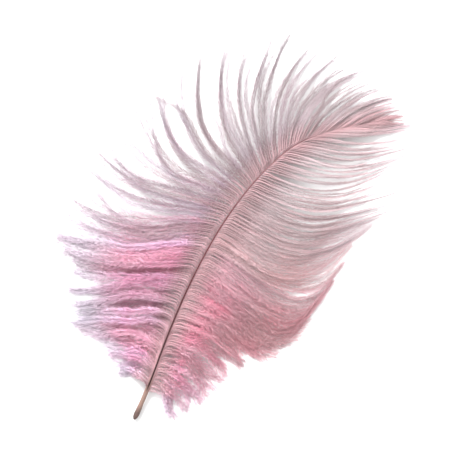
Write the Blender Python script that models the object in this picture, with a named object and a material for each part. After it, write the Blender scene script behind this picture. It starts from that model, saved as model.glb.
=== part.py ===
"""An ostrich plume, lying on a flat surface with its inner, grooved side up.

One shaft carries a vane of soft barbs on each side. The vane is split where the
barbs part into locks, and each lock is one thin slab that arches down from the
shaft and lies flat on the surface out to its barbs' tips.

Places on the vane are given by a station (0 at the quill's end, 1 at the shaft's
tip) and by how far along the barb a point is. Headings are in degrees off the
plume's long axis, +Y, and grow towards +X for the shaft and outwards for barbs.
"""
import bmesh
import bpy
import numpy as np

MM = 0.001
GAP = 0.3 * MM

# Shaft
SHAFT_LENGTH = 220 * MM
SHAFT_BEND = ((0, -17), (0.15, -22), (0.3, -18), (0.45, -12), (0.6, -2), (0.7, 7), (0.8, 31), (1, 45))
SHAFT_RADIUS = ((0, 0.5), (0.006, 1.2), (0.014, 1.4), (0.024, 1.35), (0.04, 1.15), (0.1, 1.1),
                (0.18, 0.8), (0.3, 0.6), (0.5, 0.42), (0.75, 0.28), (1, 0.18))
SHAFT_POINTS = 45
SHAFT_SIDE_STEPS = 2
QUILL_HEIGHT = 1.5 * MM
CROWN = 7 * MM

# Barbs: station, length in mm, and headings at the root, one third, two thirds and the tip
LEFT_BARBS = (
    (0.08, 15, 60, 95, 125, 130),
    (0.12, 32, 60, 95, 122, 122),
    (0.16, 44, 60, 118, 128, 130),
    (0.20, 50, 75, 128, 136, 134),
    (0.25, 50, 100, 128, 140, 134),
    (0.30, 55, 112, 130, 138, 126),
    (0.35, 65, 118, 134, 128, 100),
    (0.42, 72, 118, 144, 118, 118),
    (0.475, 72, 114, 142, 114, 98),
    (0.50, 68, 112, 126, 110, 90),
    (0.53, 68, 106, 116, 108, 84),
    (0.555, 68, 98, 110, 84, 70),
    (0.58, 68, 92, 100, 62, 44),
    (0.60, 68, 84, 88, 54, 38),
    (0.62, 68, 76, 76, 48, 28),
    (0.64, 66, 68, 62, 40, 22),
    (0.66, 64, 60, 50, 26, 12),
    (0.68, 66, 52, 42, 14, -4),
    (0.705, 59, 45, 28, 0, -10),
    (0.73, 55, 38, 14, -10, -28),
    (0.76, 50, 22, 0, -14, -36),
    (0.79, 45, -2, -10, -24, -42),
    (0.85, 32, -14, -16, -26, -38),
    (0.90, 22, -24, -28, -32, -38),
    (0.95, 12, -20, -33, -36, -40),
)
RIGHT_BARBS = (
    (0.07, 18, 40, 85, 128, 125),
    (0.10, 26, 50, 75, 110, 115),
    (0.15, 32, 50, 75, 88, 90),
    (0.20, 38, 58, 68, 82, 86),
    (0.25, 46, 62, 70, 88, 80),
    (0.30, 57, 70, 78, 94, 35),
    (0.35, 66, 74, 86, 84, -5),
    (0.40, 71, 74, 88, 74, -8),
    (0.455, 71, 75, 85, 42, 5),
    (0.505, 73, 76, 78, 36, 20),
    (0.55, 73, 78, 72, 34, 30),
    (0.595, 72, 77, 68, 38, 34),
    (0.645, 72, 76, 60, 30, 16),
    (0.70, 64, 62, 60, 40, 24),
    (0.75, 55, 56, 58, 42, 36),
    (0.80, 46, 52, 54, 42, 38),
    (0.85, 36, 48, 50, 42, 38),
    (0.90, 22, 50, 50, 44, 40),
    (0.95, 12, 52, 55, 47, 45),
)
BARB_STEPS = 48

# Locks: the stations at which each side's vane forks
LEFT_FORKS = (0.075, 0.13, 0.2, 0.26, 0.345, 0.44, 0.495, 0.58, 0.612, 0.637, 0.676, 0.703, 0.79, 0.95)
RIGHT_FORKS = (0.07, 0.155, 0.23, 0.33, 0.43, 0.52, 0.62, 0.73, 0.95)
LOCK_THICKNESS = 2.2 * MM
TIP_THICKNESS = 1.4 * MM
LOCK_SPACING = 0.05      # share of a lock's width that stays open to its neighbours
LEFT_NARROWING = 0.4     # share of its width that a lock loses at the tip
RIGHT_NARROWING = 0.25
TIP_ROUNDING = 0.1       # share of its length that a lock's edges fall short of its middle
FALL_SHARE = 0.5         # share of a barb's length over which it comes down to the surface
STEPS_ALONG = 12
STEPS_ACROSS = 3

# Colours and roughness
QUILL_BROWN = (0.28, 0.17, 0.13)
DUSTY_PINK = (0.66, 0.42, 0.47)
LILAC = (0.66, 0.45, 0.58)
GREY_PINK = (0.68, 0.6, 0.61)
BARB_ROUGHNESS = 0.85
QUILL_ROUGHNESS = 0.45
LEFT_TINTS = (LILAC, DUSTY_PINK, LILAC, LILAC, DUSTY_PINK, DUSTY_PINK, GREY_PINK)
RIGHT_TINTS = (DUSTY_PINK, DUSTY_PINK, DUSTY_PINK, DUSTY_PINK, GREY_PINK)


def along(rows, station):
    """Values of a table of (station, value, ...) rows at one station."""
    table = np.array(rows, float)
    values = [np.interp(station, table[:, 0], column) for column in table[:, 1:].T]
    return values[0] if len(values) == 1 else values


def ease(x):
    x = np.clip(x, 0, 1)
    return x * x * (3 - 2 * x)


def bent_line(start, length, headings):
    """Points of a line in the XY plane whose heading follows the given angles, in degrees."""
    turn = np.radians(headings)
    way = np.stack([np.sin(turn), np.cos(turn)], axis=1)
    steps = (way[1:] + way[:-1]) / 2 * length / (len(headings) - 1)
    return np.vstack([start, start + np.cumsum(steps, axis=0)])


SHAFT_STATIONS = np.linspace(0, 1, 401)
SHAFT_HEADINGS = np.array([along(SHAFT_BEND, station) for station in SHAFT_STATIONS])
SHAFT_LINE = bent_line(np.zeros(2), SHAFT_LENGTH, SHAFT_HEADINGS)


def shaft_height(station):
    return QUILL_HEIGHT + CROWN * np.sin(np.pi * station)


def shaft_point(station):
    """Place of the shaft's centreline, and its heading in radians."""
    x, y = (np.interp(station, SHAFT_STATIONS, SHAFT_LINE[:, axis]) for axis in (0, 1))
    return np.array([x, y]), np.radians(np.interp(station, SHAFT_STATIONS, SHAFT_HEADINGS))


def barb_line(side, rows, station):
    """One barb's centreline in plan, from beside the shaft to its tip; side is -1 or 1."""
    length, *headings = along(rows, station)
    centre, heading = shaft_point(station)
    outward = side * np.array([np.cos(heading), -np.sin(heading)])
    root = centre + outward * (along(SHAFT_RADIUS, station) * MM + GAP)
    bends = np.interp(np.linspace(0, 1, BARB_STEPS), np.linspace(0, 1, len(headings)), headings)
    return bent_line(root, length * MM, side * bends)


def lock_point(side, rows, forks, u, w, is_top):
    """Point of a lock's slab: u runs from root to tip, w from the lower to the upper fork."""
    narrowing = LEFT_NARROWING if side < 0 else RIGHT_NARROWING
    narrow = (1 - LOCK_SPACING) * (1 - narrowing * ease(2 * u - 1))
    across = 0.5 + (w - 0.5) * narrow
    station = forks[0] + (forks[1] - forks[0]) * across
    line = barb_line(side, rows, station)
    place = u * (1 - TIP_ROUNDING * (2 * w - 1) ** 2)
    x, y = (np.interp(place, np.linspace(0, 1, len(line)), line[:, axis]) for axis in (0, 1))
    root_height = shaft_height(station) - LOCK_THICKNESS / 2
    z = root_height * (1 - ease(place / FALL_SHARE))
    if is_top:
        z += LOCK_THICKNESS + (TIP_THICKNESS - LOCK_THICKNESS) * u
    return x, y, z


def finish_for(name, colour, roughness):
    material = bpy.data.materials.new(name)
    material.use_nodes = True
    shader = material.node_tree.nodes["Principled BSDF"]
    shader.inputs["Base Color"].default_value = (*colour, 1)
    shader.inputs["Roughness"].default_value = roughness
    shader.inputs["Metallic"].default_value = 0
    material.diffuse_color = (*colour, 1)
    return material


def place(name, data, colour, roughness, parent):
    data.materials.append(finish_for(name, colour, roughness))
    piece = bpy.data.objects.new(name, data)
    piece.parent = parent
    bpy.context.collection.objects.link(piece)
    return piece


def shaft_curve():
    """The quill and the rachis in one: a tapered round rod with a blunt, bulbed end."""
    curve = bpy.data.curves.new("shaft", "CURVE")
    curve.dimensions = "3D"
    curve.bevel_depth = MM
    curve.bevel_resolution = SHAFT_SIDE_STEPS
    curve.use_fill_caps = True
    bulb = [station for station, _ in SHAFT_RADIUS if station < 0.04]
    stations = bulb + list(np.linspace(0.04, 1, SHAFT_POINTS - len(bulb)))
    spline = curve.splines.new("POLY")
    spline.points.add(len(stations) - 1)
    for point, station in zip(spline.points, stations):
        (x, y), _ = shaft_point(station)
        point.co = (x, y, shaft_height(station), 1)
        point.radius = along(SHAFT_RADIUS, station)
    spline.use_smooth = True
    return curve


def lock_mesh(name, side, rows, forks):
    """A grid raised to a unit slab, then bent to the lock's shape."""
    bm = bmesh.new()
    bmesh.ops.create_grid(bm, x_segments=STEPS_ALONG, y_segments=STEPS_ACROSS, size=0.5)
    raised = bmesh.ops.extrude_face_region(bm, geom=bm.faces[:], use_keep_orig=True)
    top = [part for part in raised["geom"] if isinstance(part, bmesh.types.BMVert)]
    bmesh.ops.translate(bm, verts=top, vec=(0, 0, 1))
    bmesh.ops.recalc_face_normals(bm, faces=bm.faces[:])
    for vert in bm.verts:
        vert.co = lock_point(side, rows, forks, vert.co.x + 0.5, vert.co.y + 0.5, vert.co.z > 0.5)
    if side < 0:
        bmesh.ops.reverse_faces(bm, faces=bm.faces[:])
    mesh = bpy.data.meshes.new(name)
    bm.to_mesh(mesh)
    bm.free()
    mesh.shade_smooth()
    mesh.set_sharp_from_angle(angle=np.radians(50))
    return mesh


def centre_on_surface(parent, pieces):
    """Move the whole plume so that the middle of its footprint is at X = Y = 0."""
    seen = bpy.context.evaluated_depsgraph_get()
    points = []
    for piece in pieces:
        shown = piece.evaluated_get(seen)
        points += [vert.co[:] for vert in shown.to_mesh().vertices]
        shown.to_mesh_clear()
    middle = (np.min(points, axis=0) + np.max(points, axis=0)) / 2
    parent.location = (-middle[0], -middle[1], 0)


def main():
    for old in list(bpy.data.objects):
        bpy.data.objects.remove(old)
    plume = bpy.data.objects.new("plume", None)
    bpy.context.collection.objects.link(plume)
    pieces = [place("shaft", shaft_curve(), QUILL_BROWN, QUILL_ROUGHNESS, plume)]
    sides = (("left", -1, LEFT_BARBS, LEFT_FORKS, LEFT_TINTS),
             ("right", 1, RIGHT_BARBS, RIGHT_FORKS, RIGHT_TINTS))
    for label, side, rows, forks, tints in sides:
        for number, span in enumerate(zip(forks, forks[1:])):
            name = f"barbs_{label}_{number + 1:02d}"
            tint = tints[min(number, len(tints) - 1)]
            mesh = lock_mesh(name, side, rows, span)
            pieces.append(place(name, mesh, tint, BARB_ROUGHNESS, plume))
    centre_on_surface(plume, pieces)


main()
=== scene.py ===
"""Looks of an ostrich plume: a grooved shaft, and a vane of barbs that each carry their own down.

Places on the vane are given by a station (0 at the quill's end, 1 at the shaft's tip) and by
reach (0 at a barb's root, 1 at its usual tip). Headings are in degrees off +Y, towards +X for
the shaft and outwards for barbs, as in the solids.
"""
import math

import bmesh
import bpy
import numpy as np
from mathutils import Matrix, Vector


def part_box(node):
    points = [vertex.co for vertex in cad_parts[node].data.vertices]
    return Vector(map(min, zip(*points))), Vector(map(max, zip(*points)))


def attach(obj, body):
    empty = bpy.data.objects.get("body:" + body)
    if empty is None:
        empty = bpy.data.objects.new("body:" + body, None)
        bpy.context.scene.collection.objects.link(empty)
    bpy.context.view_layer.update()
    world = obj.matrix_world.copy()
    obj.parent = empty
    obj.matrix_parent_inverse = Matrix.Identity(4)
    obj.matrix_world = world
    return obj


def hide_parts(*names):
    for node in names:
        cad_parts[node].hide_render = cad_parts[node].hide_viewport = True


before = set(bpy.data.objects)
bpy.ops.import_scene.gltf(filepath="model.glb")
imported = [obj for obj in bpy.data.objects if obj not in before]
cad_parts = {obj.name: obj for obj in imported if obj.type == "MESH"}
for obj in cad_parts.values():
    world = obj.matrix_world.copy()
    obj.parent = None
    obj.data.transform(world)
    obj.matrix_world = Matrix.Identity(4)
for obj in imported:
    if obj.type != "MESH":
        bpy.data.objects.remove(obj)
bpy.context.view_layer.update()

MM = 0.001
draw = np.random.default_rng(41)

# Shaft, the same line as the solid's: its heading in degrees and its radius in mm, by station
SHAFT_LENGTH = 220 * MM
SHAFT_BEND = ((0, -17), (0.15, -22), (0.3, -18), (0.45, -12), (0.6, -2), (0.7, 7), (0.8, 31), (1, 45))
SHAFT_RADIUS = ((0, 0.5), (0.006, 1.2), (0.014, 1.4), (0.024, 1.35), (0.04, 1.15), (0.1, 1.1),
                (0.18, 0.8), (0.3, 0.6), (0.5, 0.42), (0.75, 0.28), (1, 0.18))
QUILL_HEIGHT = 1.5 * MM
CROWN = 7 * MM

# Barbs: station, length in mm, and headings at the root, one third, two thirds and the tip
LEFT_BARBS = (
    (0.08, 15, 60, 95, 125, 130),
    (0.12, 32, 60, 95, 122, 122),
    (0.16, 44, 60, 118, 128, 130),
    (0.20, 50, 75, 128, 136, 134),
    (0.25, 50, 100, 128, 140, 134),
    (0.30, 55, 112, 130, 138, 126),
    (0.35, 65, 118, 134, 128, 100),
    (0.42, 72, 118, 144, 118, 118),
    (0.475, 72, 114, 142, 114, 98),
    (0.50, 68, 112, 126, 110, 90),
    (0.53, 68, 106, 116, 108, 84),
    (0.555, 68, 98, 110, 84, 70),
    (0.58, 68, 92, 100, 62, 44),
    (0.60, 68, 84, 88, 54, 38),
    (0.62, 68, 76, 76, 48, 28),
    (0.64, 66, 68, 62, 40, 22),
    (0.66, 64, 60, 50, 26, 12),
    (0.68, 66, 52, 42, 14, -4),
    (0.705, 59, 45, 28, 0, -10),
    (0.73, 55, 38, 14, -10, -28),
    (0.76, 50, 22, 0, -14, -36),
    (0.79, 45, -2, -10, -24, -42),
    (0.85, 32, -14, -16, -26, -38),
    (0.90, 22, -24, -28, -32, -38),
    (0.95, 12, -20, -33, -36, -40),
)
RIGHT_BARBS = (
    (0.07, 18, 40, 85, 128, 125),
    (0.10, 26, 50, 75, 110, 115),
    (0.15, 32, 50, 75, 88, 90),
    (0.20, 38, 58, 68, 82, 86),
    (0.25, 46, 62, 70, 88, 80),
    (0.30, 57, 70, 78, 94, 35),
    (0.35, 66, 74, 86, 84, -5),
    (0.40, 71, 74, 88, 74, -8),
    (0.455, 71, 75, 85, 42, 5),
    (0.505, 73, 76, 78, 36, 20),
    (0.55, 73, 78, 72, 34, 30),
    (0.595, 72, 77, 68, 38, 34),
    (0.645, 72, 76, 60, 30, 16),
    (0.70, 64, 62, 60, 40, 24),
    (0.75, 55, 56, 58, 42, 36),
    (0.80, 46, 52, 54, 42, 38),
    (0.85, 36, 48, 50, 42, 38),
    (0.90, 22, 50, 50, 44, 40),
    (0.95, 12, 52, 55, 47, 45),
)
# Locks: the stations at which each side's vane forks, and the material slot of each lock from the
# quill's end on; the last slot holds for all further locks
LEFT_FORKS = (0.075, 0.13, 0.2, 0.26, 0.345, 0.44, 0.495, 0.58, 0.612, 0.637, 0.676, 0.703, 0.79, 0.95)
RIGHT_FORKS = (0.07, 0.155, 0.23, 0.33, 0.43, 0.52, 0.62, 0.73, 0.95)
LEFT_SLOTS = ("barbs_lilac", "barbs_pink", "barbs_lilac", "barbs_lilac", "barbs_pink", "barbs_pink",
              "barbs_grey")
RIGHT_SLOTS = ("barbs_pink", "barbs_pink", "barbs_pink", "barbs_pink", "barbs_grey")

# Rings of each stem, and the grid of places that a vane's barbs are read from
BARB_RINGS = 26
LONGEST_REACH = 1.15
REACH_STEPS = 70
STATION_STEPS = 300
ROOT_PLACE = 0.9            # share of the shaft's radius at which barbs leave it

# Stem radius in mm and down spacing in mm, by distance from the shaft in mm
STEM_RADIUS = ((0, 0.3), (5, 0.24), (12, 0.19), (20, 0.13), (35, 0.1), (80, 0.07))
DOWN_PITCH = ((0, 0.26), (12, 0.22), (30, 0.24), (60, 0.34), (90, 0.5))
# Down: length in mm and angle to the barb in degrees, by distance from the shaft in mm
LEAN_DOWN = ((0, 1.0, 55), (4, 1.3, 50), (12, 1.6, 38), (24, 2.2, 22), (45, 2.5, 17), (90, 2.2, 15))
LOOSE_DOWN = ((0, 0.9, 60), (4, 1.3, 52), (10, 2.6, 46), (20, 4.2, 42), (45, 4.8, 40), (90, 4.4, 40))
DOWN_RADIUS = 0.09 * MM

# By station: spacing of the barbs along the shaft in mm, how downy they are (1 is loose, curly
# fluff, 0 is straight and lean, below 0 is sparse), the reach by which they have gathered, and
# their share of the usual length
LEFT_HABIT = (
    (0.07, 0.8, 1, 0.95, 1.05),
    (0.14, 1.05, 1, 0.95, 1.02),
    (0.22, 1.2, 1, 0.95, 1),
    (0.3, 1.25, 1, 0.95, 1.04),
    (0.42, 1.05, 0.95, 0.95, 1.05),
    (0.5, 1.1, 0.7, 0.95, 1.06),
    (0.6, 1.02, 0.55, 0.95, 1.07),
    (0.7, 1.08, 0.35, 0.95, 1.04),
    (0.77, 1.2, 0.15, 0.9, 1.02),
    (0.86, 1.5, 0, 0.8, 1),
    (0.93, 2.4, 0, 0.6, 1),
    (1, 3, 0, 0.6, 1),
)
RIGHT_HABIT = (
    (0.07, 0.8, 1, 0.95, 1),
    (0.14, 1.0, 0.95, 0.95, 0.94),
    (0.22, 1.15, 0.9, 0.95, 0.94),
    (0.28, 1.05, 1, 0.9, 1.02),
    (0.34, 0.92, 1, 0.9, 1.1),
    (0.4, 0.95, 0.7, 0.9, 1.12),
    (0.47, 0.98, 0.5, 0.9, 1.08),
    (0.54, 1, 0.3, 0.8, 1.05),
    (0.58, 1.12, 0.1, 0.65, 1.06),
    (0.65, 1.3, -0.15, 0.5, 1.03),
    (0.8, 1.5, -0.1, 0.45, 1.02),
    (0.9, 2.1, 0, 0.5, 1.02),
    (1, 3, 0, 0.6, 1),
)
# Width of the smooth band beside the shaft, in mm, by station, and how many degrees further
# forward barbs lean in it
BAND = ((0.07, 2.5), (0.16, 4.2), (0.4, 4.2), (0.6, 2), (1, 1.2))
ROOT_LEAN = 50

# How the vane gathers into wisps by chance: station, then narrowest and widest wisp in station,
# loosest and tightest, highest lift in mm and widest swing in station
LEFT_CHANCE = (
    (0.07, 0.012, 0.03, 0.0, 0.3, 3, 0.006),
    (0.15, 0.012, 0.03, 0.1, 0.5, 4, 0.014),
    (0.52, 0.012, 0.02, 0.5, 0.85, 2.5, 0.006),
    (0.8, 0.008, 0.014, 0.4, 0.75, 1.5, 0.004),
    (1, 0.012, 0.02, 0.2, 0.5, 1, 0.003),
)
RIGHT_CHANCE = (
    (0.07, 0.012, 0.03, 0.0, 0.3, 3, 0.006),
    (0.15, 0.012, 0.03, 0.1, 0.4, 3.5, 0.01),
    (0.25, 0.012, 0.026, 0.0, 0.3, 2.5, 0.006),
    (0.38, 0.01, 0.018, 0.0, 0.15, 1.5, 0.004),
)
# Wisps that show one by one: first station, the station they gather towards, tightness,
# length share, lift in mm, swing in station, and tone (1 is light, 0 plain, and below 0 dark
# towards the tip as painted shadow)
LEFT_WISPS = (
    (0.085, 0.090, 0.1, 1.0, 1, 0, 0.9),
    (0.105, 0.100, 0.2, 1.02, 3, 0.004, 1.3),
    (0.125, 0.128, 0.3, 0.95, 1, -0.004, 0.8),
    (0.145, 0.140, 0.3, 1.05, 4, 0.01, 1.3),
    (0.165, 0.176, 0.2, 0.96, 1, -0.006, 0.5),
    (0.185, 0.180, 0.3, 1.0, 3, 0.008, 0.4),
    (0.205, 0.160, 0.5, 1.04, 6, -0.012, 1.3),
    (0.221, 0.232, 0.2, 0.98, 1, 0.006, 0),
    (0.238, 0.200, 0.5, 1.02, 6, -0.01, 1.2),
    (0.252, 0.258, 0.2, 0.98, 1, 0, 0.1),
    (0.271, 0.262, 0.3, 1.03, 4, 0.01, 0.8),
    (0.285, 0.296, 0.3, 0.97, 1, -0.006, -0.2),
    (0.303, 0.300, 0.4, 1.03, 4, 0.008, 1.1),
    (0.325, 0.330, 0.3, 1.0, 3, 0.003, 0.8),
    # Its dark tone paints the shadow in a notch under the lifted wisps beyond it
    (0.343, 0.350, 0.6, 0.9, 0, 0, -0.7),
    (0.352, 0.360, 0.5, 0.98, 1, 0, -0.2),
    (0.368, 0.375, 0.3, 1.0, 5, 0.003, 0.3),
    (0.390, 0.400, 0.2, 1.0, 4, -0.004, 0.6),
    (0.410, 0.418, 0.3, 1.02, 2, 0.004, 0.5),
    (0.432, 0.444, 0.3, 1.02, 2, 0, 0.6),
    (0.455, 0.468, 0.3, 1.02, 1, 0, 0.2),
    (0.477, 0.486, 0.5, 1.02, 2, 0, 0.3),
    (0.495, 0.501, 0.6, 1.02, 1, 0.002, 0.4),
    (0.508, 0.518, 0.7, 1.04, 2, 0, 0.6),
    (0.523, 0.531, 0.75, 1.04, 1, 0.001, 0.3),
    (0.535, 0.538, 0.8, 1.06, 2, 0, 0.5),
    (0.545, 0.554, 0.88, 1.02, 1, -0.002, 0.2),
    (0.560, 0.570, 0.92, 0.94, 2, 0.001, 0.4),
    (0.580, 0.587, 0.9, 0.98, 1, 0, 0.5),
    (0.590, 0.595, 0.9, 1.0, 2, 0.001, 0.3),
    (0.601, 0.604, 0.9, 0.99, 1, -0.001, 0.1),
    (0.607, 0.609, 0.6, 0.6, 1, 0, 0.5),
    (0.612, 0.627, 0.94, 0.95, 2, 0, 0.4),
    (0.630, 0.632, 0.7, 0.56, 1, 0, 0.4),
    (0.637, 0.644, 0.88, 1.0, 1, 0.001, 0.2),
    (0.648, 0.654, 0.88, 1.08, 2, 0, 0.5),
    (0.659, 0.665, 0.9, 1.06, 1, 0.001, 0.3),
    (0.676, 0.690, 0.9, 0.93, 2, 0, 0.5),
    (0.703, 0.711, 0.85, 0.97, 1, 0, 0.5),
    (0.716, 0.723, 0.8, 0.95, 2, 0.001, 0.3),
    (0.729, 0.737, 0.75, 0.97, 1, 0, 0.5),
    (0.745, 0.757, 0.6, 0.95, 2, 0, 0.4),
    (0.766, 0.776, 0.5, 0.96, 1, 0, 0.3),
)
LEFT_SHOWN = (0.085, 0.787)      # stations between which these wisps hold; others are by chance
RIGHT_WISPS = (
    (0.330, 0.338, 0, 1.0, 1, 0, 0.4),
    (0.348, 0.350, 0, 1.02, 1, 0, 0.7),
    (0.365, 0.360, 0.1, 0.98, 1, 0, 0.3),
    (0.383, 0.390, 0.15, 1.02, 1, -0.002, 0.6),
    (0.398, 0.406, 0.15, 1.0, 1, 0, 0.2),
    (0.415, 0.422, 0.1, 1.03, 1, 0.002, 0.7),
    (0.430, 0.438, 0.15, 1.0, 1, 0, 0.4),
    (0.447, 0.454, 0.15, 1.02, 1, -0.002, 0.8),
    (0.462, 0.470, 0.2, 1.0, 1, 0, 0.3),
    (0.478, 0.486, 0.2, 1.03, 1, 0, 0.6),
    (0.494, 0.501, 0.25, 1.0, 1, 0.002, 0.4),
    (0.509, 0.516, 0.3, 1.02, 1, 0, 0.8),
    (0.524, 0.531, 0.35, 1.0, 1, 0, 0.3),
    (0.539, 0.546, 0.4, 1.02, 1, 0.001, 0.6),
    (0.554, 0.561, 0.5, 1.0, 1, 0, 0.4),
    (0.570, 0.572, 0.72, 1.0, 1, 0, 0.6),
    (0.582, 0.580, 0.54, 1.0, 1, 0, 0.4),
    (0.594, 0.606, 0.72, 1.04, 1, 0, 0.5),
    (0.606, 0.618, 0.63, 1.0, 1, 0.002, 0.8),
    (0.620, 0.632, 0.72, 1.02, 1, 0, 0.4),
    (0.634, 0.644, 0.72, 1.0, 1, -0.002, 0.7),
    (0.650, 0.657, 0.76, 1.02, 1, 0, 0.5),
    (0.664, 0.673, 0.72, 1.0, 1, 0.002, 0.8),
    (0.680, 0.688, 0.76, 1.03, 1, 0, 0.6),
    (0.697, 0.702, 0.72, 1.0, 1, 0, 0.9),
    (0.713, 0.722, 0.76, 1.0, 1, -0.002, 0.6),
    (0.732, 0.737, 0.72, 1.02, 1, 0, 0.8),
    (0.747, 0.753, 0.72, 1.0, 1, 0, 0.5),
    (0.764, 0.774, 0.63, 1.0, 1, 0, 0.8),
    (0.784, 0.842, 0.63, 1.0, 1, 0, 0.8),
    (0.820, 0.865, 0.45, 1.0, 1, 0, 0.9),
    (0.865, 0.900, 0.36, 1.0, 1, 0, 0.8),
    (0.910, 0.925, 0.27, 1.0, 1, 0, 0.9),
)
RIGHT_SHOWN = (0.33, 0.95)

# Dye and painted shade over the vane: station, then strength of the pink, share of lilac in it, how
# pale and how dusty the outer part turns, how dark the down between the stems near the shaft is
# painted as shade, and how grey the undyed part is
LEFT_DYE_AND_SHADE = (
    (0.07, 0.7, 0.4, 0.9, 0, 0, 0),
    (0.1, 0.95, 0.4, 0.6, 0, 0.1, 0),
    (0.14, 1, 0.2, 0.7, 0, 0.2, 0),
    (0.22, 0.95, 0.4, 0.9, 0, 0.5, 0),
    (0.35, 1, 0.3, 0.8, 0, 0.7, 0),
    (0.41, 0.95, 0.4, 0.8, 0, 0.7, 0),
    (0.45, 0.6, 0.6, 0.6, 0, 0.8, 0.6),
    (0.5, 0.4, 0.7, 0.35, 0, 0.9, 1),
    (0.6, 0.2, 0.5, 0.2, 0, 0.8, 1),
    (0.7, 0.13, 0.3, 0.25, 0.05, 0.8, 0.9),
    (0.8, 0.15, 0.1, 0.25, 0.1, 0.5, 0.5),
    (0.9, 0.35, 0, 0.15, 0.1, 0.2, 0.3),
    (1, 0.5, 0, 0, 0.2, 0.1, 0.5),
)
RIGHT_DYE_AND_SHADE = (
    (0.07, 0.8, 0.6, 0.6, 0, 0, 0),
    (0.13, 0.9, 0.25, 0.3, 0.1, 0.1, 0),
    (0.25, 0.88, 0, 0.2, 0.5, 0.2, 0),
    (0.35, 0.78, 0, 0.2, 0.6, 0.4, 0.1),
    (0.42, 0.5, 0, 0.25, 0.4, 0.65, 0.2),
    (0.5, 0.25, 0, 0.3, 0.15, 0.8, 0.3),
    (0.7, 0.12, 0, 0.25, 0.15, 0.8, 0.4),
    (0.85, 0.25, 0, 0.2, 0.05, 0.3, 0.2),
    (1, 0.45, 0, 0.2, 0, 0.1, 0.2),
)

# How barbs grow and vary: lengths are shares of the usual one, and wanderings are in station
FULL_LENGTH = 1.04
SHORT_BY = 0.26             # how much shorter a barb of a loose wisp may be
EVENNESS = 0.6              # share of that difference that a tight wisp evens out
PULLS = (0.8, 1.04)         # least and most of the way that a barb follows a tight wisp
FREE_REACH = 0.1            # reach before which barbs haven't begun to gather
FLUFF_FREE_REACH = 0.15     # added to it in full fluff
STRAY_CHANCE = 0.07
STRAY_WANDERING = 4.5       # how many times further a stray barb wanders
WANDERING = 0.0022
FLUFF_WANDERING = 0.0026    # added to it in full fluff
WANDERING_TURNS = (0.5, 1.2)
SWING_TURNS = 0.8
SWING_REACH = (0.15, 0.35)  # where a wisp starts to swing, and how far on it swings fully
ROOT_UNEVENNESS = 0.0016
ROOT_REACH = 0.12           # reach by which a barb has found its own place
FLUFF_LIFT = 1.8            # how many mm more a barb may lift in full fluff
TIP_HEIGHT = 0.4            # least height of a tip in mm
TIP_CHANCE = 1.2            # what chance may add to it
RIPPLE = 0.5                # height of the ripples in full fluff, in mm
RIPPLE_TURNS = (1.5, 2.5)
SETTLED_REACH = 0.75        # reach at which barbs have come down to the surface
HUMP_REACH = 0.85           # reach at which a lifted wisp is down again
HUMP_SHARPNESS = 1.5
LOWEST_STEM = 0.2 * MM
CHANCE_LENGTHS = (0.97, 1.06)
CHANCE_AIMS = (0.2, 0.8)    # where in a wisp's width its barbs gather
FIRST_STEP = (0.2, 0.6)     # from a fork to the first barb, as shares of the barbs' spacing
STEPS = (0.8, 1.2)          # from barb to barb
LAST_STEP = 0.2             # least share left before the next fork

# Stems are thinner in fluff, where they stand close, on short barbs, and towards their tips
FLUFF_THINNING = 0.4
FLUFF_THINNING_FROM = (10, 15)     # in mm from the shaft: where it starts, and how far on it is full
FULL_PITCH = 1.15                  # spacing in mm from which stems have their full thickness
LEAST_CLOSE = 0.5                  # least share that close standing leaves
FULL_BARB = 40 * MM                # length from which stems have their full thickness
LEAST_SHORT = 0.45                 # least share that shortness leaves
TIP_THINNING = 0.5
TIP_START = 0.6                    # share of a barb's length at which it starts
ROOT_DEPTH = 1.3                   # height added to stems at the root, in widths
ROOT_DEPTH_END = 18 * MM           # how far from the shaft they are round again

# How single strands of down vary, as shares of the usual length, angle and thickness
DOWN_LENGTHS = (0.6, 1.25)
DOWN_ANGLES = (0.55, 1.35)
DOWN_THICKNESSES = (0.65, 1.15)
DOWN_JITTER = 0.35          # how far a strand grows off its even place, in strands
LAST_DOWN = 0.995           # share of a barb's length up to which down grows
LEAST_DOWN = 6              # strands on one side of the shortest barb
LOWEST_DOWN = 0.08 * MM
NEAR_SHAFT = (10, 8)        # in mm: how far out down lies straight and low, and how far on that ends
UNDER_STEM = 0.2 * MM       # how far below the stem's middle it grows there
FADE_START = 0.5            # share of a barb's length at which down starts to shorten
FADE = 0.7                  # how much lean down shortens towards the tip
FLUFF_FADE = 0.5            # how much less loose down does
FADED_THICKNESS = 0.6       # share of its thickness that down faded to nothing would keep
LEAN_TURNS = (2.5, 5)       # down leans together, in waves along each barb
LEAN_ANGLE = 0.25           # by this share of its angle to the barb
LEAN_TILT = 14              # and by this many degrees up or down
TILT = 16                   # by chance, in degrees
FLUFF_TILT = 20             # added to it in full fluff
NEAR_TILT = 12              # how far down points downwards near the shaft, in degrees
CURL = (0.45, 0.3)          # how far the outer half turns along the barb: middle and spread
FLUFF_CURL = 0.3            # what chance may add or take in full fluff
RISE = (-0.05, 0.12)        # how far it turns up: middle and spread

# Lightness: what a light wisp, chance from barb to barb and strand to strand, and a stem add; a stem's
# share is a painted highlight on its lit top
WISP_LIGHT = 0.45
BARB_LIGHT = 0.8
DOWN_LIGHT = 0.35
STEM_HIGHLIGHT = 0.15
# A dark wisp's darkening towards its tip is painted shadow
DARK_REACH = (0.6, 0.15)    # where a dark wisp starts to darken, and how far on it is darkest

# The map of a lock has reach along it and barbs across it, one barb to a row
MAP_REACH = 1.3             # reach at the map's far edge
STEM_SPREAD = 0.2           # how far a stem's edges lie off the middle of its row
DOWN_SPREAD = (0.2, 0.35)   # how far the bend and the tip of a strand lie off it

# The dye tables' columns, painted shade among them, under the names by which finishes read them
DYE_AND_SHADE_LAYERS = ("pink", "lilac", "paling", "dusting", "gap_shade", "greying")
STEM_OUTNESS = -1.0         # marks stems, where down has 0 at its root to 1 at its tip

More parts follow.
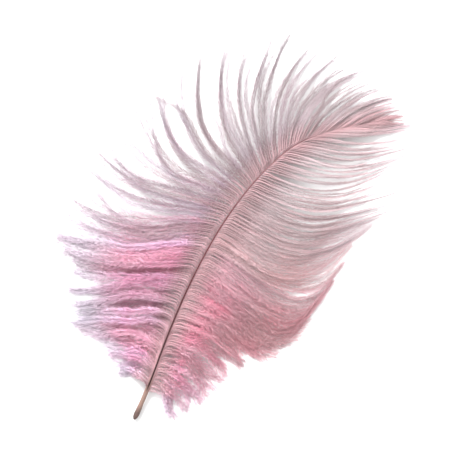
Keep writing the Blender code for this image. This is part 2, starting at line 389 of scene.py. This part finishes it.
# The shaft's section: sizes across it are shares of its radius
SHAFT_SIDES = 24
SHAFT_RINGS = 100
QUILL_END_STATIONS = (0, 0.002, 0.006, 0.01, 0.014, 0.02, 0.026, 0.033)
SHAFT_FLATNESS = 0.92              # its height for a width of 1
GROOVE_DEPTH = 0.35
GROOVE_WIDTH = 0.35
GROOVE_STATIONS = (0.06, 0.05)     # where the groove starts, and how far on it is full
GROOVE_LINE_STATIONS = (0.065, 0.02)      # the same for the dark line in it
GROOVE_LINE_WIDTH = 0.55                  # in mm
GROOVE_LINE_WIDTHS = (0.45, 0.9)          # its narrowest and widest

# The view from above, turned in degrees
FRAME_WIDTH = 236.2 * MM
FRAME_CENTRE = (8.3 * MM, -0.4 * MM)
FRAME_TURN = 41.9


def along(rows, station):
    """Columns of a table of (station, value, ...) rows at the given stations."""
    table = np.array(rows, float)
    values = [np.interp(station, table[:, 0], column) for column in table[:, 1:].T]
    return values[0] if len(values) == 1 else values


def ease(x):
    """A smooth step from 0 to 1."""
    x = np.clip(x, 0, 1)
    return x * x * (3 - 2 * x)


def between(first, second, share):
    return first + (second - first) * share


def unit(vectors):
    return vectors / np.maximum(np.linalg.norm(vectors, axis=-1, keepdims=True), 1e-12)


def bent_lines(starts, lengths, headings):
    """Lines in the XY plane, one a row, whose headings follow the given angles in degrees."""
    turn = np.radians(headings)
    way = np.stack([np.sin(turn), np.cos(turn)], axis=-1)
    share = np.asarray(lengths)[:, None, None] / (turn.shape[1] - 1)
    walked = np.cumsum((way[:, 1:] + way[:, :-1]) / 2 * share, axis=1)
    return np.concatenate([starts[:, None], starts[:, None] + walked], axis=1)


# The shaft's line, set so that its tip end lies where the solid's does
SHAFT_STATIONS = np.linspace(0, 1, 401)
SHAFT_HEADINGS = along(SHAFT_BEND, SHAFT_STATIONS)
SHAFT_LINE = bent_lines(np.zeros((1, 2)), [SHAFT_LENGTH], SHAFT_HEADINGS[None])[0]
_, shaft_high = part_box("shaft")
tip_heading = math.radians(SHAFT_HEADINGS[-1])
tip_radius = along(SHAFT_RADIUS, 1) * MM
ORIGIN = np.array([
    shaft_high.x - (SHAFT_LINE[:, 0] + along(SHAFT_RADIUS, SHAFT_STATIONS) * MM
                    * np.cos(np.radians(SHAFT_HEADINGS))).max(),
    shaft_high.y - SHAFT_LINE[-1, 1] - tip_radius * math.sin(tip_heading),
])


def shaft_height(station):
    return QUILL_HEIGHT + CROWN * np.sin(np.pi * station)


def shaft_places(station):
    """Places of the shaft's centreline in plan, and its headings in radians."""
    x, y = (np.interp(station, SHAFT_STATIONS, SHAFT_LINE[:, axis]) for axis in (0, 1))
    heading = np.interp(station, SHAFT_STATIONS, SHAFT_HEADINGS)
    return np.stack([x, y], axis=-1) + ORIGIN, np.radians(heading)


class Vane:
    """All the barbs that could grow on one side: plan places by station and reach."""

    def __init__(self, side, rows, habit, dye_and_shade):
        self.habit = habit
        self.dye_and_shade = dye_and_shade
        self.first, self.last = rows[0][0], rows[-1][0]
        stations = np.linspace(self.first, self.last, STATION_STEPS)
        lengths, *headings = along(rows, stations)
        centres, turn = shaft_places(stations)
        outward = side * np.stack([np.cos(turn), -np.sin(turn)], axis=-1)
        roots = centres + outward * (along(SHAFT_RADIUS, stations) * MM * ROOT_PLACE)[:, None]
        reach = np.linspace(0, LONGEST_REACH, REACH_STEPS)
        knots = np.linspace(0, 1, len(headings))
        bends = np.array([np.interp(reach, knots, row) for row in np.array(headings).T])
        band = along(BAND, stations) * MM
        bends -= ROOT_LEAN * (1 - ease(reach * (lengths * MM / band)[:, None]))
        self.grid = bent_lines(roots, lengths * MM * LONGEST_REACH, side * bends)

    def places(self, station, reach):
        """Plan places at any stations and reaches, read between the grid's points."""
        row = np.clip((station - self.first) / (self.last - self.first), 0, 1) * (STATION_STEPS - 1)
        column = np.clip(reach / LONGEST_REACH, 0, 1) * (REACH_STEPS - 1)
        low_row = np.minimum(row.astype(int), STATION_STEPS - 2)
        low_column = np.minimum(column.astype(int), REACH_STEPS - 2)
        down = (row - low_row)[..., None]
        over = (column - low_column)[..., None]
        grid = self.grid
        near = grid[low_row, low_column] * (1 - down) + grid[low_row + 1, low_column] * down
        far = grid[low_row, low_column + 1] * (1 - down) + grid[low_row + 1, low_column + 1] * down
        return near * (1 - over) + far * over


def waves(count, steps, turns):
    """One smooth random wave a row, about 1 high."""
    t = np.linspace(0, 1, steps)[None]
    total = np.zeros((count, steps))
    for turn in turns:
        phase = draw.uniform(0, 2 * np.pi, (count, 1))
        total += draw.normal(0, 1, (count, 1)) * np.sin(2 * np.pi * turn * t + phase)
    return total / math.sqrt(len(turns))


def chance_wisps(first, last, chance):
    """Wisps of random width between two stations, as rows like those of LEFT_WISPS."""
    rows = []
    start = first
    while start < last:
        narrow, wide, loose, tight, lift, swing = along(chance, start)
        width = draw.uniform(narrow, wide)
        rows.append((start, start + width * draw.uniform(*CHANCE_AIMS), draw.uniform(loose, tight),
                     draw.uniform(*CHANCE_LENGTHS), draw.uniform(0, lift),
                     draw.uniform(-swing, swing), draw.uniform(0, 1)))
        start += width
    return rows


def all_wisps(forks, shown_wisps, span, chance):
    """A side's wisps in order: the given ones over their span, and chance ones up to the end forks."""
    wisps = list(shown_wisps)
    for first, last in ((forks[0], span[0]), (span[1], forks[-1])):
        wisps += chance_wisps(first, last, chance)
    return np.array(sorted(wisps), float)


def roots_between(first, last, habit):
    """Stations of the barbs between two forks, at the side's spacing with a little jitter."""
    stations = []
    step = along(habit, first)[0] * MM / SHAFT_LENGTH
    station = first + draw.uniform(*FIRST_STEP) * step
    while station < last - LAST_STEP * step:
        stations.append(station)
        step = along(habit, station)[0] * MM / SHAFT_LENGTH
        station += step * draw.uniform(*STEPS)
    return np.array(stations)


def grow_barbs(vane, wisps, root):
    """Centrelines (barb, ring, 3) of one lock's barbs, with their reaches and their wisps' tones."""
    count = len(root)
    which = np.clip(np.searchsorted(wisps[:, 0], root, side="right") - 1, 0, len(wisps) - 1)
    _, aim, tight, share, lift, swing, tone = (column[:, None] for column in wisps[which].T)
    _, fluff, gathered, usual = (column[:, None] for column in along(vane.habit, root))
    t = np.linspace(0, 1, BARB_RINGS)[None]

    uneven = SHORT_BY * (1 - EVENNESS * tight)
    reach = t * share * usual * (FULL_LENGTH - uneven * draw.uniform(0, 1, (count, 1)) ** 2)

    # Each barb starts at its root's station and ends near its wisp's aim
    stray = np.where(draw.uniform(0, 1, (count, 1)) < STRAY_CHANCE, STRAY_WANDERING, 1.0)
    drawn_in = reach - FREE_REACH - FLUFF_FREE_REACH * np.maximum(fluff, 0)
    pull = tight * draw.uniform(*PULLS, (count, 1)) * np.clip(drawn_in / gathered, 0, 1)
    wandering = WANDERING + FLUFF_WANDERING * fluff
    wobble = waves(count, BARB_RINGS, WANDERING_TURNS) * wandering * stray * t
    swing_start, swing_growth = SWING_REACH
    swung = swing * np.sin(2 * np.pi * SWING_TURNS * reach)
    swung *= ease((reach - swing_start) / swing_growth)
    settled = draw.normal(0, ROOT_UNEVENNESS, (count, 1)) * ease(reach / ROOT_REACH)
    station = root[:, None] + settled + (aim - root[:, None]) * pull + wobble + swung
    plan = vane.places(station, reach)

    # Its height falls from the shaft's to the surface, with its wisp's lift and its own on the way
    fall = 1 - ease(reach / SETTLED_REACH)
    hump = np.sin(np.pi * np.clip(reach / HUMP_REACH, 0, 1)) ** HUMP_SHARPNESS
    own_lift = draw.uniform(0, 1, (count, 1)) * (1 + FLUFF_LIFT * fluff)
    z = shaft_height(station) * fall + (lift + own_lift) * MM * hump
    z += (TIP_HEIGHT + draw.uniform(0, TIP_CHANCE, (count, 1))) * MM * t
    z += waves(count, BARB_RINGS, RIPPLE_TURNS) * RIPPLE * MM * fluff * hump
    return np.dstack([plan, np.maximum(z, LOWEST_STEM)]), reach, tone[:, 0]


def directions(lines):
    """Unit tangents, sideways and upward vectors along each line."""
    tangent = unit(np.gradient(lines, axis=1))
    sideways = unit(np.cross(np.broadcast_to((0.0, 0.0, 1.0), tangent.shape), tangent))
    return tangent, sideways, np.cross(tangent, sideways)


def tubes(lines, radii, depths, rows, reach):
    """Closed three-sided stems along the lines, taller than wide by depths.

    Returns points, triangles and places on the map.
    """
    count, rings, _ = lines.shape
    _, sideways, upward = directions(lines)
    around = np.radians((90, 210, 330))
    ring = lines[:, :, None] + radii[..., None, None] * (
        sideways[:, :, None] * np.cos(around)[:, None]
        + upward[:, :, None] * np.sin(around)[:, None] * depths[..., None, None])
    index = np.arange(count * rings * 3).reshape(count, rings, 3)
    low, high = index[:, :-1], index[:, 1:]
    next_low, next_high = np.roll(low, -1, axis=2), np.roll(high, -1, axis=2)
    walls = np.concatenate([np.stack([low, next_low, next_high], -1).reshape(-1, 3),
                            np.stack([low, next_high, high], -1).reshape(-1, 3)])
    caps = np.concatenate([index[:, 0, ::-1], index[:, -1]])
    spread = np.broadcast_to((-STEM_SPREAD, STEM_SPREAD, 0.0), (count, rings, 3))
    charted = np.stack([np.broadcast_to(reach[:, :, None], (count, rings, 3)),
                        rows[:, None, None] + spread], -1)
    return ring.reshape(-1, 3), np.concatenate([walls, caps]), charted.reshape(-1, 2)


def down_places(lengths):
    """Where down grows on barbs of the given lengths, in pairs: barbs, and distances in metres."""
    far = np.linspace(0, 100, 401)
    middles = (far[1:] + far[:-1]) / 2
    grown = np.concatenate([[0], np.cumsum(np.diff(far) / along(DOWN_PITCH, middles))])
    totals = np.interp(lengths / MM * LAST_DOWN, far, grown)
    per_side = np.maximum(totals.astype(int), LEAST_DOWN)
    barb = np.repeat(np.arange(len(lengths)), per_side)
    inner = np.concatenate([(np.arange(n) + 0.5) / n * total for n, total in zip(per_side, totals)])
    inner += draw.uniform(-DOWN_JITTER, DOWN_JITTER, len(inner))
    distance = np.interp(inner, grown, far) * MM
    return np.repeat(barb, 2), np.repeat(distance, 2)


def grow_down(lines, away, reach, rows, fluff):
    """Down along the barbs: closed spindles with one bend.

    Returns points, triangles and places on the map, and for each point its barb, how far out
    along its strand it is (0 to 1), and a random lightness that its strand shares.
    """
    count, rings, _ = lines.shape
    lengths = away[:, -1]
    barb, distance = down_places(lengths)
    total = len(barb)
    side = np.tile((-1.0, 1.0), total // 2)
    t = np.clip(distance / lengths[barb], 0, LAST_DOWN)
    at = t * (rings - 1)
    low = np.minimum(at.astype(int), rings - 2)
    part = (at - low)[:, None]

    def read(values):
        return values[barb, low] * (1 - part) + values[barb, low + 1] * part

    tangent, sideways, upward = (unit(read(vectors)) for vectors in directions(lines))
    soft = fluff[barb]
    lean = read(waves(count, rings, LEAN_TURNS)[..., None])[:, 0]
    near_end, near_fading = NEAR_SHAFT
    near = 1 - ease((distance / MM - near_end) / near_fading)
    start = read(lines) - upward * (UNDER_STEM * near)[:, None]
    reached = read(reach[..., None])[:, 0]

    lean_length, lean_angle = along(LEAN_DOWN, distance / MM)
    loose_length, loose_angle = along(LOOSE_DOWN, distance / MM)
    fade = 1 - (FADE - FLUFF_FADE * soft) * ease((t - FADE_START) / (1 - FADE_START))
    length = between(lean_length, loose_length, soft) * fade * draw.uniform(*DOWN_LENGTHS, total) * MM
    angle = between(lean_angle, loose_angle, soft)
    spread = np.radians(angle * (draw.uniform(*DOWN_ANGLES, total) + LEAN_ANGLE * lean * side))
    tilt = draw.normal(0, TILT + FLUFF_TILT * soft) + LEAN_TILT * lean * side * (1 - near)
    tilt = np.radians(tilt - NEAR_TILT * near)

    # The inner half leaves the barb to one side, and the outer half curls towards its tip
    out = side[:, None] * sideways * np.cos(tilt)[:, None] + upward * np.sin(tilt)[:, None]
    first = tangent * np.cos(spread)[:, None] + out * np.sin(spread)[:, None]
    curl = draw.normal(*CURL, total) - FLUFF_CURL * soft * draw.uniform(-1, 1, total)
    curl = curl[:, None] * (1 - near)[:, None]
    rise = upward * draw.normal(*RISE, total)[:, None]
    second = unit(first * (1 - curl) + tangent * curl + rise)
    bend = start + first * (length * 0.5)[:, None]
    tip = bend + second * (length * 0.5)[:, None]

    axis = unit(tip - start)
    across = unit(np.cross(axis, upward + 0.01))
    other = np.cross(axis, across)
    thick = DOWN_RADIUS * draw.uniform(*DOWN_THICKNESSES, total)
    thick *= between(FADED_THICKNESS, 1, fade) * (1 + near)
    corners = [bend + thick[:, None] * (across * math.cos(turn) + other * math.sin(turn))
               for turn in np.radians((0, 120, 240))]
    points = np.stack([start, *corners, tip], axis=1)
    points[..., 2] = np.maximum(points[..., 2], LOWEST_DOWN)
    spindle = np.array(((0, 2, 1), (0, 3, 2), (0, 1, 3), (4, 1, 2), (4, 2, 3), (4, 3, 1)))
    triangles = (spindle[None] + 5 * np.arange(total)[:, None, None]).reshape(-1, 3)

    row = rows[barb]
    ahead = length / lengths[barb]
    bend_spread, tip_spread = DOWN_SPREAD
    charted = np.empty((total, 5, 2))
    charted[:, 0] = np.stack([reached, row], -1)
    for corner, shift in ((1, -0.06), (2, 0.06), (3, 0.0)):
        charted[:, corner] = np.stack([reached + ahead * 0.5, row + side * bend_spread + shift], -1)
    charted[:, 4] = np.stack([reached + ahead, row + side * tip_spread], -1)
    outness = np.tile((0.0, 0.5, 0.5, 0.5, 1.0), total)
    own = np.repeat(draw.uniform(0, 1, total), 5)
    return points.reshape(-1, 3), triangles, charted.reshape(-1, 2), np.repeat(barb, 5), outness, own


def mesh_from(name, points, triangles, charted, finish_inputs):
    """A mesh with its map and the attributes that its finish reads, painted shade between stems among them.
    """
    mesh = bpy.data.meshes.new(name)
    mesh.vertices.add(len(points))
    mesh.vertices.foreach_set("co", points.astype(np.float32).ravel())
    mesh.loops.add(triangles.size)
    mesh.loops.foreach_set("vertex_index", triangles.astype(np.int32).ravel())
    mesh.polygons.add(len(triangles))
    mesh.polygons.foreach_set("loop_start", np.arange(0, triangles.size, 3, dtype=np.int32))
    mesh.polygons.foreach_set("use_smooth", np.ones(len(triangles), bool))
    mesh.update(calc_edges=True)
    layer = mesh.uv_layers.new(name="OFBake")
    layer.data.foreach_set("uv", charted[triangles.ravel()].astype(np.float32).ravel())
    for label, values in finish_inputs.items():
        mesh.attributes.new(label, "FLOAT", "POINT").data.foreach_set("value", values.astype(np.float32))
    return mesh


def place(name, mesh, material, node):
    """A finished piece on the plume's only body, in place of its solid."""
    piece = bpy.data.objects.new(name, mesh)
    bpy.context.scene.collection.objects.link(piece)
    mesh.materials.append(material)
    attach(piece, "root")
    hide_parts(node)


def stem_sizes(away, pitch, fluff):
    """Radii of the stems along their lengths, and how many times taller than wide they are there."""
    lengths = away[:, -1:]
    fluff_start, fluff_growth = FLUFF_THINNING_FROM
    thinned = 1 - FLUFF_THINNING * fluff[:, None] * ease((away / MM - fluff_start) / fluff_growth)
    thinned *= np.clip(pitch / FULL_PITCH, LEAST_CLOSE, 1)[:, None]
    thinned *= np.clip(lengths / FULL_BARB, LEAST_SHORT, 1)
    tapered = 1 - TIP_THINNING * ease((away / lengths - TIP_START) / (1 - TIP_START))
    radii = along(STEM_RADIUS, away / MM) * MM * thinned * tapered
    return radii, 1 + ROOT_DEPTH * (1 - ease(away / ROOT_DEPTH_END))


def make_lock(name, node, vane, wisps, root, material):
    """One lock: its barbs' stems and their down in one mesh, in place of the solid slab."""
    lines, reach, tone = grow_barbs(vane, wisps, root)
    count = len(root)
    rows = np.arange(count) + 0.5
    steps = np.linalg.norm(np.diff(lines, axis=1), axis=2)
    away = np.concatenate([np.zeros((count, 1)), steps.cumsum(axis=1)], axis=1)
    pitch, fluff, _, _ = along(vane.habit, root)
    radii, depths = stem_sizes(away, pitch, fluff)
    stem_points, stem_faces, stem_charted = tubes(lines, radii, depths, rows, reach)
    down_points, down_faces, down_charted, down_barb, outness, own = grow_down(
        lines, away, reach, rows, fluff)
    stem_total = len(stem_points)
    points = np.concatenate([stem_points, down_points])
    faces = np.concatenate([stem_faces, down_faces + stem_total])
    charted = np.concatenate([stem_charted, down_charted])
    barb = np.concatenate([np.repeat(np.arange(count), BARB_RINGS * 3), down_barb])

    reached = charted[:, 0]
    tone = tone[barb]
    # Painted shadow: wisps of negative tone darken towards their tips
    dark_start, dark_growth = DARK_REACH
    darkened = ease((reached - dark_start) / dark_growth)
    shade = np.where(tone < 0, tone * darkened, WISP_LIGHT * tone)
    shade += BARB_LIGHT * draw.uniform(0, 1, count)[barb]
    shade[stem_total:] += DOWN_LIGHT * own
    # Painted highlight: stems are made lighter than the down, as if lit on top
    shade[:stem_total] += STEM_HIGHLIGHT
    distance = reached / reach[:, -1][barb] * away[:, -1][barb]
    finish_inputs = dict(zip(DYE_AND_SHADE_LAYERS, along(vane.dye_and_shade, root[barb])))
    finish_inputs["reach"] = reached
    finish_inputs["away"] = distance / MM
    finish_inputs["near"] = distance / (along(BAND, root)[barb] * MM)
    finish_inputs["shade"] = shade
    finish_inputs["outness"] = np.concatenate([np.full(stem_total, STEM_OUTNESS), outness])
    on_map = np.clip(charted / (MAP_REACH, count), 0, 1)
    place(name, mesh_from(name, points, faces, on_map, finish_inputs), material, node)


# Finishes
def linear(red, green, blue):
    """An sRGB colour, 0 to 255, as the linear colour a node takes."""
    values = [channel / 255 for channel in (red, green, blue)]
    return (*(v / 12.92 if v <= 0.04045 else ((v + 0.055) / 1.055) ** 2.4 for v in values), 1.0)


PALE = linear(232, 220, 222)
GREY = linear(172, 162, 167)
PALE_TIP = linear(232, 226, 238)
DUSTY_ROOT = linear(219, 183, 187)
# Painted shade: the colour of the down darkened between the stems near the shaft
PAINTED_GAP_SHADE = linear(104, 58, 64)
DUST = linear(210, 156, 156)
FULL_LIGHT = (1.05, 1.05, 1.05, 1)
# Pink and lilac of each slot's barbs
DYES = {
    "barbs_pink": (linear(250, 162, 186), linear(236, 198, 230)),
    "barbs_lilac": (linear(240, 154, 186), linear(220, 190, 222)),
    "barbs_grey": (linear(236, 150, 158), linear(214, 172, 206)),
}
HORN_END = linear(92, 78, 74)
HORN = linear(142, 118, 108)
HORN_STAIN = linear(140, 104, 96)
SHAFT_PINK = linear(196, 156, 160)
SHAFT_TIP = linear(186, 154, 156)
GROOVE_LINE = linear(26, 2, 6)
GROOVE_LINE_MIDDLE = linear(90, 50, 54)
GROOVE_LINE_TIP = linear(150, 112, 114)


def group(name, **defaults):
    """A node group of float inputs and one float output, Value: its tree and its two end nodes."""
    tree = bpy.data.node_groups.new(name, "ShaderNodeTree")
    for label, default in defaults.items():
        socket = tree.interface.new_socket(label, in_out="INPUT", socket_type="NodeSocketFloat")
        socket.default_value = default
    tree.interface.new_socket("Value", in_out="OUTPUT", socket_type="NodeSocketFloat")
    return tree, tree.nodes.new("NodeGroupInput"), tree.nodes.new("NodeGroupOutput")


def feed(tree, socket, value):
    """Gives a node's input a constant, or links another node's output to it."""
    if isinstance(value, bpy.types.NodeSocket):
        tree.links.new(value, socket)
    else:
        socket.default_value = value


def attribute(tree, name):
    node = tree.nodes.new("ShaderNodeAttribute")
    node.attribute_name = name
    return node.outputs["Fac"]


def mixed(tree, factor, first, second, blend="MIX"):
    """A colour mix; each of the three may be a socket or a constant."""
    node = tree.nodes.new("ShaderNodeMix")
    node.data_type = "RGBA"
    node.blend_type = blend
    node.clamp_factor = True
    # Inputs 0, 6 and 7 are the factor and the two colours, and output 2 is the colour
    for number, value in ((0, factor), (6, first), (7, second)):
        feed(tree, node.inputs[number], value)
    return node.outputs[2]


def ramp(tree, value, low, high, to_low=0.0, to_high=1.0, kind="SMOOTHSTEP"):
    """A value as it goes from low to high, turned into one from to_low to to_high."""
    node = tree.nodes.new("ShaderNodeMapRange")
    node.interpolation_type = kind
    for socket, given in zip(node.inputs[:5], (value, low, high, to_low, to_high)):
        feed(tree, socket, given)
    return node.outputs[0]


def product(tree, first, second):
    node = tree.nodes.new("ShaderNodeMath")
    node.operation = "MULTIPLY"
    feed(tree, node.inputs[0], first)
    feed(tree, node.inputs[1], second)
    return node.outputs[0]


def streaks_group():
    """Random lightness from barb to barb and along each barb, from the piece's map."""
    tree, given, put = group("barb_streaks", Rows=18.0, Length=3.0)
    uv = tree.nodes.new("ShaderNodeUVMap")
    uv.uv_map = "OFBake"
    split = tree.nodes.new("ShaderNodeSeparateXYZ")
    feed(tree, split.inputs[0], uv.outputs[0])
    joined = tree.nodes.new("ShaderNodeCombineXYZ")
    feed(tree, joined.inputs[0], product(tree, split.outputs[0], given.outputs["Length"]))
    feed(tree, joined.inputs[1], product(tree, split.outputs[1], given.outputs["Rows"]))
    noise = tree.nodes.new("ShaderNodeTexNoise")
    noise.inputs["Scale"].default_value = 1.0
    noise.inputs["Detail"].default_value = 2.0
    feed(tree, noise.inputs["Vector"], joined.outputs[0])
    feed(tree, put.inputs["Value"], noise.outputs[0])
    return tree


def patches_group():
    """Uneven uptake of the dye over the plume, from object places."""
    tree, given, put = group("dye_patches", Scale=45.0)
    coordinates = tree.nodes.new("ShaderNodeTexCoord")
    noise = tree.nodes.new("ShaderNodeTexNoise")
    noise.inputs["Detail"].default_value = 2.0
    feed(tree, noise.inputs["Vector"], coordinates.outputs["Object"])
    feed(tree, noise.inputs["Scale"], given.outputs["Scale"])
    feed(tree, put.inputs["Value"], noise.outputs[0])
    return tree


STREAKS = streaks_group()
PATCHES = patches_group()


def use(tree, node_tree, **values):
    """One node group placed in a material, with its own values."""
    node = tree.nodes.new("ShaderNodeGroup")
    node.node_tree = node_tree
    for label, value in values.items():
        node.inputs[label].default_value = value
    return node.outputs[0]


def blank_finish(name):
    """A new material, with its node tree and its shader."""
    material = bpy.data.materials.new(name)
    material.use_nodes = True
    return material, material.node_tree, material.node_tree.nodes["Principled BSDF"]


def barb_finish(name, pink, lilac):
    """Dyed barbs: dusty at the root, with painted shade on the down between stems there, and uneven further
    out.
    """
    material, tree, shader = blank_finish(name)
    strength, lilac_share, paling, dusting, gap_shade, greying = (
        attribute(tree, label) for label in DYE_AND_SHADE_LAYERS)
    reach, away, near, outness, shade = (
        attribute(tree, label) for label in ("reach", "away", "near", "outness", "shade"))

    # The dye, over the barbs' own pale or grey
    patch = use(tree, PATCHES, Scale=60.0)
    streak = use(tree, STREAKS, Rows=9.0, Length=2.0)
    lilac_here = product(tree, lilac_share, ramp(tree, shade, 0.4, 1.3, 0.2, 1.8))
    dyed = mixed(tree, lilac_here, pink, lilac)
    uptake = product(tree, ramp(tree, streak, 0.3, 0.7, 0.75, 1.2),
                     ramp(tree, patch, 0.35, 0.65, 1.15, 0.8))
    body = mixed(tree, product(tree, strength, uptake), mixed(tree, greying, PALE, GREY), dyed)

    # Further out it pales and turns dusty, and beside the shaft it is dusty pink
    paled = product(tree, ramp(tree, reach, 0.5, 0.95), paling)
    body = mixed(tree, paled, body, PALE_TIP)
    body = mixed(tree, product(tree, ramp(tree, reach, 0.25, 0.75), dusting), body, DUST)
    body = mixed(tree, ramp(tree, away, 3, 14, 0.85, 0.0), body, DUSTY_ROOT)

    # Painted shade: down between the stems is darkened, from the end of the smooth band to about 17 mm out
    beside_band = product(tree, ramp(tree, near, 0.6, 1.3), ramp(tree, away, 6, 17, 0.58, 0.05))
    painted_gap_shade = product(tree, ramp(tree, outness, -0.5, 0.4), product(tree, beside_band, gap_shade))
    body = mixed(tree, painted_gap_shade, body, PAINTED_GAP_SHADE)

    light = ramp(tree, shade, -1.0, 1.6, 0.16, 1.34, kind="LINEAR")
    light = mixed(tree, product(tree, paled, 0.6), light, FULL_LIGHT)
    feed(tree, shader.inputs["Base Color"], mixed(tree, 1.0, body, light, blend="MULTIPLY"))
    shader.inputs["Roughness"].default_value = 0.62
    shader.inputs["Specular IOR Level"].default_value = 0.35
    shader.inputs["Sheen Weight"].default_value = 0.1
    shader.inputs["Sheen Roughness"].default_value = 0.5
    return material


def quill_finish():
    """Horn, brown at the bare end and dyed pink above it, with a dull dark line along the groove."""
    material, tree, shader = blank_finish("quill")
    station, groove = attribute(tree, "station"), attribute(tree, "groove")
    patch = use(tree, PATCHES, Scale=600.0)
    horn = mixed(tree, ramp(tree, station, 0.015, 0.04), HORN_END, HORN)
    horn = mixed(tree, ramp(tree, patch, 0.3, 0.7, 0.0, 0.3), horn, HORN_STAIN)
    horn = mixed(tree, ramp(tree, station, 0.06, 0.14), horn, SHAFT_PINK)
    horn = mixed(tree, ramp(tree, station, 0.4, 0.8), horn, SHAFT_TIP)
    groove_line = mixed(tree, ramp(tree, station, 0.1, 0.5), GROOVE_LINE, GROOVE_LINE_MIDDLE)
    groove_line = mixed(tree, ramp(tree, station, 0.5, 0.85), groove_line, GROOVE_LINE_TIP)
    feed(tree, shader.inputs["Base Color"], mixed(tree, groove, horn, groove_line))
    feed(tree, shader.inputs["Roughness"], ramp(tree, groove, 0, 1, 0.5, 0.9))
    shader.inputs["Specular IOR Level"].default_value = 0.12
    return material


def make_shaft(material):
    """The shaft, extruded ring by ring: oval, blunt at the quill's end, grooved from the first barbs on."""
    bm = bmesh.new()
    station_layer = bm.verts.layers.float.new("station")
    # This layer holds each point's angle round the shaft until the groove's mask takes its place
    groove_layer = bm.verts.layers.float.new("groove")
    ring = bmesh.ops.create_circle(bm, cap_ends=True, radius=1, segments=SHAFT_SIDES)["verts"]
    for vert in ring:
        vert[groove_layer] = math.atan2(vert.co.y, vert.co.x)
    edges = list(bm.edges)
    stations = np.concatenate([QUILL_END_STATIONS, np.linspace(0.04, 1, SHAFT_RINGS)])
    radii = along(SHAFT_RADIUS, stations) * MM
    centres, headings = shaft_places(stations)
    groove_start, groove_growth = GROOVE_STATIONS
    for number, (station, radius, centre, heading) in enumerate(zip(stations, radii, centres, headings)):
        if number:
            grown = bmesh.ops.extrude_edge_only(bm, edges=edges)["geom"]
            ring = [part for part in grown if isinstance(part, bmesh.types.BMVert)]
            edges = [part for part in grown if isinstance(part, bmesh.types.BMEdge)
                     and all(vert in ring for vert in part.verts)]
        depth = GROOVE_DEPTH * ease((station - groove_start) / groove_growth)
        for vert in ring:
            side, up = math.cos(vert[groove_layer]), math.sin(vert[groove_layer])
            dip = depth * math.exp(-(side / GROOVE_WIDTH) ** 2) if up > 0 else 0
            vert.co = (centre[0] + radius * side * math.cos(heading),
                       centre[1] - radius * side * math.sin(heading),
                       shaft_height(station) + radius * SHAFT_FLATNESS * (up - dip))
            vert[station_layer] = station
    bmesh.ops.edgeloop_fill(bm, edges=edges)
    narrowest, widest = GROOVE_LINE_WIDTHS
    line_start, line_growth = GROOVE_LINE_STATIONS
    for vert in bm.verts:
        side, up = math.cos(vert[groove_layer]), math.sin(vert[groove_layer])
        station = vert[station_layer]
        width = min(max(GROOVE_LINE_WIDTH / along(SHAFT_RADIUS, station), narrowest), widest)
        groove_line = math.exp(-(side / width) ** 4) if up > 0 else 0
        vert[groove_layer] = groove_line * ease((station - line_start) / line_growth)
    bmesh.ops.recalc_face_normals(bm, faces=bm.faces[:])
    mesh = bpy.data.meshes.new("shaft_grooved")
    bm.to_mesh(mesh)
    bm.free()
    mesh.shade_smooth()
    place("shaft_grooved", mesh, material, "shaft")


finishes = {slot_name: barb_finish(slot_name, *finish_inputs) for slot_name, finish_inputs in DYES.items()}
make_shaft(quill_finish())
left_wisps = all_wisps(LEFT_FORKS, LEFT_WISPS, LEFT_SHOWN, LEFT_CHANCE)
right_wisps = all_wisps(RIGHT_FORKS, RIGHT_WISPS, RIGHT_SHOWN, RIGHT_CHANCE)
left_vane = Vane(-1, LEFT_BARBS, LEFT_HABIT, LEFT_DYE_AND_SHADE)
right_vane = Vane(1, RIGHT_BARBS, RIGHT_HABIT, RIGHT_DYE_AND_SHADE)
sides = (("left", left_vane, LEFT_FORKS, left_wisps, LEFT_SLOTS),
         ("right", right_vane, RIGHT_FORKS, right_wisps, RIGHT_SLOTS))
for label, vane, forks, wisps, slots in sides:
    for number, (first, last) in enumerate(zip(forks, forks[1:])):
        ending = f"{label}_{number + 1:02d}"
        slot_name = slots[min(number, len(slots) - 1)]
        root = roots_between(first, last, vane.habit)
        make_lock(f"lock_{ending}", f"barbs_{ending}", vane, wisps, root, finishes[slot_name])


# Studio
def look_down():
    """A camera straight above, turned so that the plume runs from lower left to upper right."""
    data = bpy.data.cameras.new("camera")
    data.lens = 120
    data.sensor_width = 36
    data.clip_start = 0.01
    height = data.lens / data.sensor_width * FRAME_WIDTH
    camera = bpy.data.objects.new("camera", data)
    camera.location = (*FRAME_CENTRE, height)
    camera.rotation_euler = (0, 0, math.radians(FRAME_TURN))
    bpy.context.scene.collection.objects.link(camera)
    bpy.context.scene.camera = camera


def lay_floor():
    """A plain, pale floor for the plume to lie on."""
    material, _, shader = blank_finish("floor")
    shader.inputs["Base Color"].default_value = (0.9, 0.9, 0.9, 1)
    shader.inputs["Roughness"].default_value = 0.9
    bm = bmesh.new()
    bmesh.ops.create_grid(bm, x_segments=1, y_segments=1, size=2)
    mesh = bpy.data.meshes.new("floor")
    bm.to_mesh(mesh)
    bm.free()
    mesh.materials.append(material)
    floor = bpy.data.objects.new("floor", mesh)
    bpy.context.scene.collection.objects.link(floor)


def light_up():
    """One soft round light from the left, in a bright white room."""
    lamp = bpy.data.lights.new("softbox", "AREA")
    lamp.shape = "DISK"
    lamp.size = 0.9
    lamp.energy = 74
    light = bpy.data.objects.new("softbox", lamp)
    light.location = (-1.6, 0.7, 1.4)
    light.rotation_euler = (-light.location).to_track_quat("-Z", "Y").to_euler()
    bpy.context.scene.collection.objects.link(light)
    world = bpy.data.worlds.new("studio")
    world.use_nodes = True
    background = world.node_tree.nodes["Background"]
    background.inputs["Color"].default_value = (1, 1, 1, 1)
    background.inputs["Strength"].default_value = 1.15
    bpy.context.scene.world = world
    bpy.context.scene.view_settings.view_transform = "Standard"


look_down()
lay_floor()
light_up()
